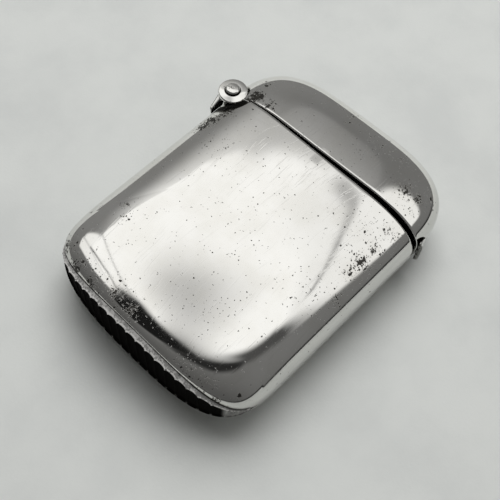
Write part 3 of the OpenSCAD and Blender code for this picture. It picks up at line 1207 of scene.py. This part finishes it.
@dataclass
class WearGroups:
    """The wear that several finishes share, each as one node group, with its scales per metre."""

    ragged_scale: float = 5200.0
    ragged_shift: float = 0.00042
    least_size: float = 0.25
    spot_edge: float = 0.12
    scratch_lines: tuple[tuple[float, float], ...] = ((0.55, 26.0), (-0.85, 34.0), (1.9, 20.0))
    scratch_tilt: tuple[float, float] = (0.2, 0.1)
    scratch_scale: float = 120.0
    scratch_height: float = 900.0
    bend_scale: float = 90.0
    bend_shift: float = 0.0035
    cloud_scale: float = 230.0
    coarse_scale: float = 1300.0
    fine_scale: float = 3000.0
    fine_share: float = 0.6
    dirt_share: float = 0.33
    tarnish_level: float = 0.8
    tarnish_edge: float = 0.03
    pits: bpy.types.NodeTree = field(init=False)
    scratches: bpy.types.NodeTree = field(init=False)
    tarnish: bpy.types.NodeTree = field(init=False)

    def __post_init__(self) -> None:
        """Builds the three groups."""
        self.pits = self.make_pits()
        self.scratches = self.make_scratches()
        self.tarnish = self.make_tarnish()

    def make_pits(self) -> bpy.types.NodeTree:
        """Small dark pits: cells picked at random, each with a ragged spot of its own size.

        Returns:
            Group with the inputs Vector, Scale, Amount and Size, and the output Mask.
        """
        inputs = {"Vector": None, "Scale": 1500.0, "Amount": 0.2, "Size": 0.4}
        group = new_group("pitting", inputs, ("Mask",))
        w = Wiring(group)
        given = group.nodes["Group Input"].outputs
        ragged = w.noise(given["Vector"], self.ragged_scale, 3.0).outputs["Color"]
        shift = w.vector("SCALE", w.vector("SUBTRACT", ragged, (0.5, 0.5, 0.5)), self.ragged_shift)
        moved = w.vector("ADD", given["Vector"], shift)
        cell = w.node("ShaderNodeTexVoronoi", {"Vector": moved, "Scale": given["Scale"]})
        luck = w.node("ShaderNodeSeparateColor", {"Color": cell.outputs["Color"]})
        picked = w.math("LESS_THAN", luck.outputs[0], given["Amount"])
        growth = w.line(luck.outputs[1], 1 - self.least_size, self.least_size)
        size = w.math("MULTIPLY", given["Size"], growth)
        near = w.math("SUBTRACT", size, cell.outputs["Distance"])
        spot = w.ramp(near, 0.0, self.spot_edge)
        w.feed(group.nodes["Group Output"].inputs["Mask"], w.math("MULTIPLY", spot, picked))
        return group

    def make_scratches(self) -> bpy.types.NodeTree:
        """Fine scratches: layers of noise drawn out along bent lines that cross at angles.

        Returns:
            Group with the inputs Vector and Scale, and the output Mask.
        """
        group = new_group("fine_scratches", {"Vector": None, "Scale": 1.0}, ("Mask",))
        w = Wiring(group)
        given = group.nodes["Group Input"].outputs
        bend = w.noise(given["Vector"], self.bend_scale, 1.0).outputs["Color"]
        moved = w.vector("ADD", given["Vector"], w.vector("SCALE", bend, self.bend_shift))
        mask: object = 0.0
        for angle, stretch in self.scratch_lines:
            size = (self.scratch_scale, self.scratch_scale * stretch, self.scratch_height)
            inputs = {"Vector": moved, "Rotation": (*self.scratch_tilt, angle), "Scale": size}
            turned = w.node("ShaderNodeMapping", inputs).outputs[0]
            noise = w.noise(turned, given["Scale"], 3.0).outputs[0]
            mask = w.math("MAXIMUM", w.ramp(noise, 0.62, 0.74), mask)
        w.feed(group.nodes["Group Output"].inputs["Mask"], mask)
        return group

    def make_tarnish(self) -> bpy.types.NodeTree:
        """Tarnish in patches: coarse and fine noise, raised where dirt gathers.

        Returns:
            Group with the inputs Vector, Dirt and Amount, and the outputs Mask and Cloud.
        """
        inputs = {"Vector": None, "Dirt": 0.0, "Amount": 0.1}
        group = new_group("tarnish_patches", inputs, ("Mask", "Cloud"))
        w = Wiring(group)
        given = group.nodes["Group Input"].outputs
        result = group.nodes["Group Output"].inputs
        cloud = w.noise(given["Vector"], self.cloud_scale, 5.0, 0.6).outputs[0]
        coarse = w.noise(given["Vector"], self.coarse_scale, 3.0, 0.6).outputs[0]
        fine = w.noise(given["Vector"], self.fine_scale, 3.0, 0.65).outputs[0]
        both = w.line(coarse, 1 - self.fine_share, w.math("MULTIPLY", fine, self.fine_share))
        raised = w.line(given["Dirt"], self.dirt_share, both)
        level = w.math("SUBTRACT", raised, w.math("SUBTRACT", self.tarnish_level, given["Amount"]))
        w.feed(result["Mask"], w.ramp(level, 0.0, self.tarnish_edge))
        w.feed(result["Cloud"], w.ramp(cloud, 0.3, 0.75))
        return group


def new_material(name: str) -> tuple[bpy.types.Material, Wiring, bpy.types.Node]:
    """Starts a material with an empty Principled shader.

    Args:
        name: Name of the material.

    Returns:
        The material, its wiring and its shader.
    """
    made = bpy.data.materials.new(name)
    made.use_nodes = True
    shader = made.node_tree.nodes["Principled BSDF"]
    return made, Wiring(made.node_tree), shader


@dataclass(frozen=True)
class SilverFinish:
    """Old polished silver: bright, pitted where dirt gathers, scratched, and painted with shade inside."""

    name: str = "worn_silver"
    bright: Colour = (0.9, 0.89, 0.865, 1.0)
    warm: Colour = (0.8, 0.785, 0.74, 1.0)
    dark: Colour = (0.024, 0.02, 0.015, 1.0)
    scored: Colour = (0.6, 0.59, 0.565, 1.0)
    smear: Colour = (0.4, 0.37, 0.31, 1.0)
    # Colours of the painted shade inside the case, in gaps and in recesses, and of the black painted shade
    # under the hinge.
    inside: Colour = (0.06, 0.055, 0.045, 1.0)
    painted_shade: Colour = (0.012, 0.011, 0.009, 1.0)
    # A darker band along the sides: partly tarnish, partly painted shade for the shadowed table that the
    # sides mirror.
    side_tarnish_and_shade: Colour = (0.57, 0.57, 0.55, 1.0)
    seam_z: float = CaseForm().mid_z * MM
    roughness: float = 0.05
    side_low: float = 0.0016
    side_high: float = 0.0042
    side_tarnish_and_shade_share: float = 0.75
    pit_scale: float = 2100.0
    pit_amount: float = 0.006
    pit_size: float = 0.36
    pit_growth: float = 0.16
    pit_dirt: float = 0.42
    speck_ratio: float = 2.1
    speck_amount: float = 0.05
    speck_size: float = 0.42
    tarnish_amount: float = 0.0
    warm_share: float = 0.6
    score_share: float = 0.12
    smear_share: float = 0.15
    dark_share: float = 0.92

    def build(self, wear: WearGroups) -> bpy.types.Material:
        """Builds the material.

        Args:
            wear: The shared wear groups.

        Returns:
            The material.
        """
        made, w, shader = new_material(self.name)
        spot, dirt, inside = w.spot(), w.mark("dirt"), w.mark("inside")
        pits = w.group(
            wear.pits,
            spot,
            Scale=self.pit_scale,
            Amount=w.line(dirt, self.pit_dirt, self.pit_amount),
            Size=w.line(dirt, self.pit_growth, self.pit_size),
        ).outputs[0]
        specks = w.group(
            wear.pits,
            spot,
            Scale=self.pit_scale * self.speck_ratio,
            Amount=w.line(dirt, self.pit_dirt, self.speck_amount),
            Size=self.speck_size,
        ).outputs[0]
        stain = w.group(wear.tarnish, spot, Dirt=dirt, Amount=self.tarnish_amount).outputs
        lines = w.group(wear.scratches, spot).outputs[0]
        spoiled = w.math("MAXIMUM", w.math("MAXIMUM", pits, specks), stain["Mask"])
        height = w.node("ShaderNodeSeparateXYZ", {0: spot}).outputs["Z"]
        away = w.math("ABSOLUTE", w.math("SUBTRACT", height, self.seam_z))
        # Darker band near the seam: partly tarnish, partly painted shade.
        side = w.ramp(away, self.side_low, self.side_high, self.side_tarnish_and_shade_share, 0.0)
        hue = w.blend(w.math("MULTIPLY", stain["Cloud"], self.warm_share), self.bright, self.warm)
        hue = w.blend(w.math("MULTIPLY", lines, self.score_share), hue, self.scored)
        hue = w.blend(w.ramp(dirt, 0.3, 1.3, 0.0, self.smear_share), hue, self.smear)
        hue = w.blend(side, hue, self.side_tarnish_and_shade)
        outside = w.blend(w.math("MULTIPLY", spoiled, self.dark_share), hue, self.dark)
        # Painted shade where the inside mark rises, and black painted shade above 1.
        with_shade = w.blend(w.ramp(inside, 0.35, 0.8), outside, self.inside)
        w.feed(shader.inputs["Base Color"], w.blend(w.ramp(inside, 1.05, 1.4), with_shade, self.painted_shade))
        rough = w.line(stain["Cloud"], 0.03, self.roughness)
        rough = w.line(spoiled, 0.35, w.line(lines, 0.05, rough))
        w.feed(shader.inputs["Roughness"], w.line(inside, 0.35, rough, clamp=True))
        shader.inputs["Metallic"].default_value = 1.0
        w.bump(shader, w.line(lines, -0.05, w.math("MULTIPLY", spoiled, -1.0)), 0.35, 0.00006)
        return made


@dataclass(frozen=True)
class StrikerFinish:
    """Silver blackened in the flutes, worn bright along the lands and the rim."""

    name: str = "sooted_silver"
    bright: Colour = (0.72, 0.71, 0.69, 1.0)
    soot: Colour = (0.006, 0.0055, 0.005, 1.0)
    shine: float = 0.35
    soot_ior: float = 1.05
    stain_amount: float = 0.26
    stain_share: float = 0.6
    pit_scale: float = 3200.0
    pit_amount: float = 0.3
    pit_size: float = 0.5
    pit_share: float = 0.8

    def build(self, wear: WearGroups) -> bpy.types.Material:
        """Builds the material.

        Args:
            wear: The shared wear groups.

        Returns:
            The material.
        """
        made, w, shader = new_material(self.name)
        spot, soot = w.spot(), w.mark("inside")
        stain = w.group(wear.tarnish, spot, Dirt=soot, Amount=self.stain_amount).outputs["Mask"]
        pits = w.group(wear.pits, spot, Scale=self.pit_scale, Amount=self.pit_amount, Size=self.pit_size)
        pitted = w.math("MULTIPLY", pits.outputs[0], self.pit_share)
        black = w.ramp(soot, 0.12, 0.4)
        marks = w.math("MAXIMUM", pitted, w.math("MULTIPLY", stain, self.stain_share))
        covered = w.math("MAXIMUM", black, marks)
        w.feed(shader.inputs["Base Color"], w.blend(covered, self.bright, self.soot))
        w.feed(shader.inputs["Roughness"], w.line(covered, 0.3, 0.4))
        w.feed(shader.inputs["Metallic"], w.math("MULTIPLY", w.math("SUBTRACT", 1.0, black), self.shine))
        shader.inputs["IOR"].default_value = self.soot_ior
        w.bump(shader, w.math("MULTIPLY", covered, -1.0), 0.4, 0.00005)
        return made


@dataclass(frozen=True)
class SteelFinish:
    """Blued spring steel, brushed along its length and speckled with rust."""

    name: str = "spring_steel"
    bright: Colour = (0.38, 0.39, 0.41, 1.0)
    shade: Colour = (0.2, 0.21, 0.235, 1.0)
    rust: Colour = (0.16, 0.075, 0.035, 1.0)
    rust_share: float = 0.8
    grain_scale: tuple[float, float, float] = (60.0, 2600.0, 2600.0)
    pit_scale: float = 1700.0
    pit_amount: float = 0.22
    pit_size: float = 0.5

    def build(self, wear: WearGroups) -> bpy.types.Material:
        """Builds the material.

        Args:
            wear: The shared wear groups.

        Returns:
            The material.
        """
        made, w, shader = new_material(self.name)
        spot = w.spot()
        brushed = w.node("ShaderNodeMapping", {"Vector": spot, "Scale": self.grain_scale}).outputs[0]
        grain = w.noise(brushed, 1.0, 4.0).outputs[0]
        pits = w.group(wear.pits, spot, Scale=self.pit_scale, Amount=self.pit_amount, Size=self.pit_size)
        rusty = w.math("MULTIPLY", pits.outputs[0], self.rust_share)
        tone = w.blend(w.math("MULTIPLY", grain, 0.5), self.bright, self.shade)
        w.feed(shader.inputs["Base Color"], w.blend(rusty, tone, self.rust))
        w.feed(shader.inputs["Roughness"], w.line(grain, 0.2, 0.25))
        w.feed(shader.inputs["Metallic"], w.math("SUBTRACT", 1.0, rusty))
        w.bump(shader, grain, 0.25, 0.00004)
        return made


@dataclass(frozen=True)
class TableFinish:
    """A pale grey table top with a faint mottle."""

    name: str = "pale_table"
    light: Colour = (0.66, 0.675, 0.655, 1.0)
    shade: Colour = (0.6, 0.615, 0.6, 1.0)
    mottle_scale: float = 60.0
    grain_scale: float = 2600.0

    def build(self) -> bpy.types.Material:
        """Builds the material.

        Returns:
            The material.
        """
        made, w, shader = new_material(self.name)
        spot = w.spot()
        mottle = w.noise(spot, self.mottle_scale, 6.0, 0.6).outputs[0]
        w.feed(shader.inputs["Base Color"], w.blend(w.ramp(mottle, 0.35, 0.7), self.light, self.shade))
        w.feed(shader.inputs["Roughness"], w.line(mottle, 0.2, 0.55))
        w.bump(shader, w.noise(spot, self.grain_scale, 2.0).outputs[0], 0.12, 0.0001)
        return made


@dataclass(frozen=True)
class Panel:
    """A flat panel of the light tent, seen from the case as a shape with straight sides.

    Attributes:
        light: Brightness of the panel.
        corners: Angle from straight up and turn from +X of each corner, in degrees, in order.
        soft: Half the width of its soft edge, in radians.
    """

    light: float
    corners: tuple[tuple[float, float], ...]
    soft: float = 0.012

    def share(self, w: Wiring, way: bpy.types.NodeSocket) -> bpy.types.NodeSocket:
        """How far a direction lies in the panel: the product of a soft step across each of its sides.

        Args:
            w: Wiring of the world.
            way: Direction that is looked in.

        Returns:
            Socket from 0 outside to 1 inside.
        """
        down, turn = np.radians(np.array(self.corners)).T
        spots = np.stack([np.sin(down) * np.cos(turn), np.sin(down) * np.sin(turn), np.cos(down)], -1)
        sides = np.cross(spots, np.roll(spots, -1, axis=0))
        sides /= np.linalg.norm(sides, axis=1, keepdims=True)
        sides *= np.sign(sides @ spots.mean(axis=0))[:, None]
        result: object = 1.0
        for side in sides.tolist():
            result = w.math("MULTIPLY", w.ramp(w.dot(way, side), -self.soft, self.soft), result)
        return result


PANELS = (
    # The glow over the hinge side of the body, and a weaker one over the lid.
    Panel(0.98, ((29, 3), (38, 28), (51, 51), (60, 60), (40, 85), (23, 101)), 0.27),
    Panel(0.49, ((33, 43), (41, 33), (36, 17), (33, 14), (26, 22)), 0.05),
    # White sheets that the case mirrors, from the hinge side to the thumb's side.
    Panel(0.93, ((60.7, 101.7), (60.7, 94.8), (26.6, 99.8), (31.1, 105.0), (41.9, 106.3)), 0.012),
    Panel(0.96, ((27.2, 99.6), (26.9, 84.3), (45.6, 87.3), (57.6, 91.1), (59.6, 94.4)), 0.012),
    Panel(1.03, ((45.8, 95.7), (25.1, 100.5), (33.5, 38.6), (41.9, 54.9)), 0.008),
    Panel(1.03, ((28, 101), (30, 59), (35, 37), (34, 23), (34, -58), (6, -142)), 0.013),
    Panel(
        0.92,
        (
            (30.3, 35.7), (39.3, 26.7), (40.4, 5.3), (44.4, -8.7), (51.5, -23.0),
            (63.2, -35.5), (62.8, -50.2), (59.8, -56.9), (39.6, -60.0), (26.8, -48.7),
        ),
        0.035,
    ),
    # The joints between two of the sheets.
    Panel(0.4, ((33.2, 30.2), (33.9, 28.2), (26.4, 3.4), (25.7, 4.9)), 0.007),
    Panel(0.3, ((25.8, 4.9), (26.4, 3.4), (28.0, -36.8), (27.3, -36.8)), 0.004),
    # Grey shades on the white of the front.
    Panel(0.56, ((26, 45), (27, 50), (27, 57), (27, 70), (7, 74), (20, 39)), 0.09),
    Panel(0.3, ((18, 131), (14, 71), (2, -107), (14, -113), (12, -159)), 0.1),
    # Dark bands along the striker's end and the thumb's side of the front.
    Panel(0.01, ((6, -177), (29, 127), (33, 116), (28, 92), (22, 84), (4, 176), (10, -152)), 0.025),
    Panel(0.02, ((16, 143), (11, 137), (14, -70), (16, -96), (14, -144)), 0.055),
    Panel(0.07, ((1, -97), (27, -46), (45, -59), (15, -85)), 0.05),
    # Fine lines in the sheets on the hinge side.
    Panel(0.22, ((47.4, 96.2), (47.3, 95.0), (32.5, 93.1), (32.2, 94.5)), 0.004),
    Panel(0.2, ((32.5, 94.5), (32.2, 93.1), (26.0, 98.3), (26.4, 100.5)), 0.004),
    Panel(0.35, ((44.3, 86.5), (44.3, 86.0), (31.7, 85.8), (31.7, 86.5)), 0.0025),
    Panel(0.35, ((31.9, 86.5), (31.7, 85.8), (24.7, 86.5), (24.7, 87.5)), 0.0025),
)


@dataclass(frozen=True)
class Studio:
    """The table, the light tent and the camera at the photograph's viewing angle."""

    azimuth: float = -50.889
    elevation: float = 62.173
    roll: float = 5.576
    distance: float = 124.952
    shift_right: float = -9.182
    shift_up: float = -7.773
    view_angle: float = 33.0
    near_clip: float = 5.0
    table_half: float = 700.0
    table_steps: int = 8
    table_drop: float = 0.02
    tone: Colour = (1.0, 1.0, 0.985, 1.0)
    wall_striker: float = 0.1
    wall_lid: float = 0.165
    wall_hinge: float = 0.045
    hinge_way: tuple[float, float, float] = (0.35, 0.94, 0.0)
    lid_ramp: tuple[float, float] = (-0.7, 0.2)
    hinge_ramp: tuple[float, float] = (0.4, 0.9)
    thumb_ramp: tuple[float, float] = (0.0, -0.4)
    floor_ramp: tuple[float, float] = (0.03, 0.13)
    floor_dark: float = 0.9
    lamp_way: tuple[float, float, float] = (0.42, 0.3, 0.86)
    lamp_away: float = 600.0
    lamp_size: float = 520.0
    lamp_power: float = 3.2

    def camera(self) -> None:
        """Puts up the camera: turned about the case's origin, rolled, then moved aside and back."""
        a, e, r = (math.radians(v) for v in (self.azimuth, self.elevation, self.roll))
        back = np.array([math.sin(a) * math.cos(e), -math.cos(a) * math.cos(e), math.sin(e)])
        right = np.array([math.cos(a), math.sin(a), 0.0])
        up = np.cross(back, right)
        roll = np.array([[math.cos(r), math.sin(r), 0], [-math.sin(r), math.cos(r), 0], [0, 0, 1]])
        axes = roll @ np.array([right, up, back])
        spot = axes.T @ np.array([self.shift_right, self.shift_up, self.distance]) * MM
        data = bpy.data.cameras.new("camera")
        data.angle = math.radians(self.view_angle)
        data.clip_start = self.near_clip * MM
        made = bpy.data.objects.new("camera", data)
        turn = Matrix(axes.T.tolist()).to_4x4()
        turn.translation = spot.tolist()
        made.matrix_world = turn
        bpy.context.scene.collection.objects.link(made)
        bpy.context.scene.camera = made

    def table(self) -> None:
        """Lays the table just under the back of the case."""
        side = np.linspace(-self.table_half, self.table_half, self.table_steps + 1) * MM
        x, y = np.meshgrid(side, side, indexing="ij")
        points = np.stack([x, y, np.full(x.shape, -self.table_drop * MM)], -1)
        mesh = bpy.data.meshes.new("table")
        mesh.from_pydata(points.reshape(-1, 3).tolist(), [], Patch(points).faces(0).tolist())
        mesh.materials.append(TableFinish().build())
        made = bpy.data.objects.new("table", mesh)
        bpy.context.scene.collection.objects.link(made)

    def tent(self) -> None:
        """Surrounds the scene with grey walls, in which the panels are set one after another."""
        world = bpy.data.worlds.new("light_tent")
        bpy.context.scene.world = world
        world.use_nodes = True
        w = Wiring(world.node_tree)
        sky = world.node_tree.nodes["Background"]
        way = w.node("ShaderNodeTexCoord").outputs["Generated"]
        across = w.dot(way, self.hinge_way)
        split = w.node("ShaderNodeSeparateXYZ", {0: way}).outputs
        level = w.ramp(split["X"], *self.lid_ramp, self.wall_striker, self.wall_lid)
        level = w.math("ADD", level, w.ramp(across, *self.hinge_ramp, 0.0, self.wall_hinge))
        floor = w.ramp(split["Z"], *self.floor_ramp, 1.0, 0.0)
        low = w.math("MULTIPLY", floor, w.ramp(across, *self.thumb_ramp))
        level = w.math("MULTIPLY", level, w.line(low, -self.floor_dark, 1.0))
        for panel in PANELS:
            share = panel.share(w, way)
            level = w.math("ADD", level, w.math("MULTIPLY", share, w.math("SUBTRACT", panel.light, level)))
        w.feed(sky.inputs["Color"], self.tone)
        w.feed(sky.inputs["Strength"], level)

    def key_lamp(self) -> None:
        """Hangs one broad lamp over the far side, which throws the soft shadow towards the camera."""
        data = bpy.data.lights.new("key_lamp", "AREA")
        data.shape = "RECTANGLE"
        data.size = self.lamp_size * MM
        data.size_y = self.lamp_size * MM
        data.energy = self.lamp_power
        made = bpy.data.objects.new("key_lamp", data)
        way = np.array(self.lamp_way) / np.linalg.norm(self.lamp_way)
        spot = Vector((way * self.lamp_away * MM).tolist())
        turn = spot.to_track_quat("Z", "Y").to_matrix().to_4x4()
        turn.translation = spot
        made.matrix_world = turn
        made.visible_glossy = False
        bpy.context.scene.collection.objects.link(made)

    def build(self) -> None:
        """Builds the camera, the table and the light."""
        bpy.context.scene.view_settings.view_transform = "Standard"
        self.camera()
        self.table()
        self.tent()
        self.key_lamp()


@dataclass
class Inside:
    """The spring and its stud, which keep their solids and get finishes."""

    steel: bpy.types.Material
    silver: bpy.types.Material

    def dress(self, nodes: dict[str, bpy.types.Object]) -> None:
        """Gives the solids their finishes.

        Args:
            nodes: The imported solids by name.
        """
        for name, finish in (("lid_spring", self.steel), ("spring_stud", self.silver)):
            data = nodes[name].data
            data.materials.clear()
            data.materials.append(finish)
            log.info("%s: keeps its solid, in %s", name, finish.name)


def main() -> None:
    """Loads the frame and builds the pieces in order."""
    logging.basicConfig(level=logging.INFO, format="%(name)s: %(message)s")
    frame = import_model()
    Studio().build()
    wear = WearGroups()
    silver = SilverFinish().build(wear)
    sooted = StrikerFinish().build(wear)
    steel = SteelFinish().build(wear)
    form = CaseForm()
    body = BodyShells(form, silver, Ride.CASE, -1.0)
    body.build("body_front", Half.FRONT, "body_front_shell")
    body.build("body_back", Half.BACK, "body_back_shell")
    Striker(form, sooted).build()
    lid = LidShells(form, silver, Ride.LID, 1.0, fall=0.04, rim_bright=1.0)
    lid.build("lid_front", Half.FRONT, "lid_front_shell")
    lid.build("lid_back", Half.BACK, "lid_back_shell")
    Hinge(form, silver).build()
    ThumbPiece(form, silver).build()
    Inside(steel, silver).dress(frame["nodes"])


if __name__ == "__main__":
    main()
